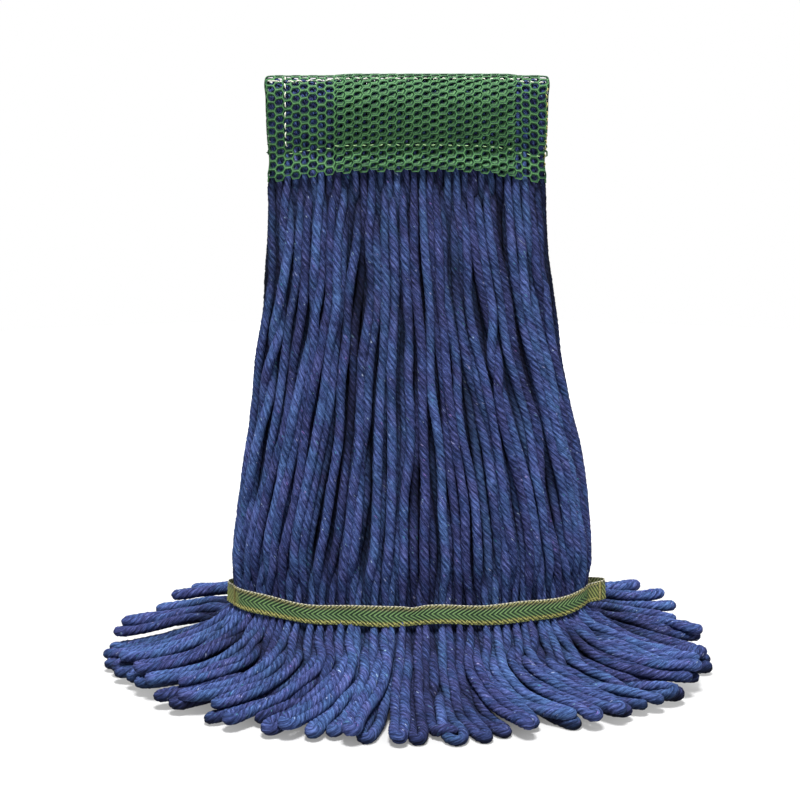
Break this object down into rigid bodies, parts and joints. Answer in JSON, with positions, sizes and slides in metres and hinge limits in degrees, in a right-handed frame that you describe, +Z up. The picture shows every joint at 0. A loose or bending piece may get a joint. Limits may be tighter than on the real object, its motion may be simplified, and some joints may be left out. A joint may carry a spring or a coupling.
{
  "type": "string mop head",
  "caption": "Looped-end wet mop head: blue yarn strands under a folded green net headband, with a sewn woven tailband above splayed looped tails; the rear half hinges open along the crease.",
  "frame": {"origin": "centre of the splayed tails on the floor, under the headband's crease", "axes": "+Z up to the crease, +X along the headband, -Y towards the front half"},
  "size_m": [0.3698, 0.2698, 0.3568],
  "materials": {
    "yarn": "plied cotton-blend yarn, matt and fuzzy, mid blue with flecks",
    "net": "open honeycomb net of green synthetic yarn, slight sheen",
    "net_inner": "inner ply of the same net, in shade",
    "thread_white": "off-white sewing thread",
    "thread_gold": "gold sewing thread",
    "tape": "woven herringbone tape, green with gold edges"
  },
  "bodies": {
    "front_half": {"front_yarn_bundle_01": "yarn", "front_yarn_bundle_02": "yarn", "front_yarn_bundle_03": "yarn", "front_yarn_bundle_04": "yarn", "front_yarn_bundle_05": "yarn", "front_yarn_bundle_06": "yarn", "front_yarn_bundle_07": "yarn", "front_yarn_bundle_08": "yarn", "front_yarn_bundle_09": "yarn", "front_yarn_bundle_10": "yarn", "front_yarn_bundle_11": "yarn", "front_yarn_bundle_12": "yarn", "front_headband_net_outer": "net", "front_headband_net_overlap": "net", "front_headband_net_inner": "net_inner", "front_headband_lower_seam": "thread_white", "front_headband_left_seam": "thread_white", "front_headband_right_seam": "thread_gold", "front_tailband_outer_tape": "tape", "front_tailband_inner_tape": "tape", "front_tailband_upper_seam": "thread_gold", "front_tailband_lower_seam": "thread_gold", "front_tailband_left_tack": "thread_gold", "front_tailband_right_tack": "thread_gold", "headband_center_seam": "thread_white"},
    "rear_half": {"rear_yarn_bundle_01": "yarn", "rear_yarn_bundle_02": "yarn", "rear_yarn_bundle_03": "yarn", "rear_yarn_bundle_04": "yarn", "rear_yarn_bundle_05": "yarn", "rear_yarn_bundle_06": "yarn", "rear_yarn_bundle_07": "yarn", "rear_yarn_bundle_08": "yarn", "rear_yarn_bundle_09": "yarn", "rear_yarn_bundle_10": "yarn", "rear_yarn_bundle_11": "yarn", "rear_yarn_bundle_12": "yarn", "rear_headband_net_outer": "net", "rear_headband_net_overlap": "net", "rear_headband_net_inner": "net_inner", "rear_headband_lower_seam": "thread_white", "rear_headband_left_seam": "thread_white", "rear_headband_right_seam": "thread_gold", "rear_tailband_outer_tape": "tape", "rear_tailband_inner_tape": "tape", "rear_tailband_upper_seam": "thread_gold", "rear_tailband_lower_seam": "thread_gold", "rear_tailband_left_tack": "thread_gold", "rear_tailband_right_tack": "thread_gold"}
  },
  "joints": [
    {"name": "headband_fold", "type": "hinge", "parent": "front_half", "child": "rear_half", "pos_m": [0, 0, 0.357], "axis": [1, 0, 0], "range_deg": [0, 180]}
  ]
}
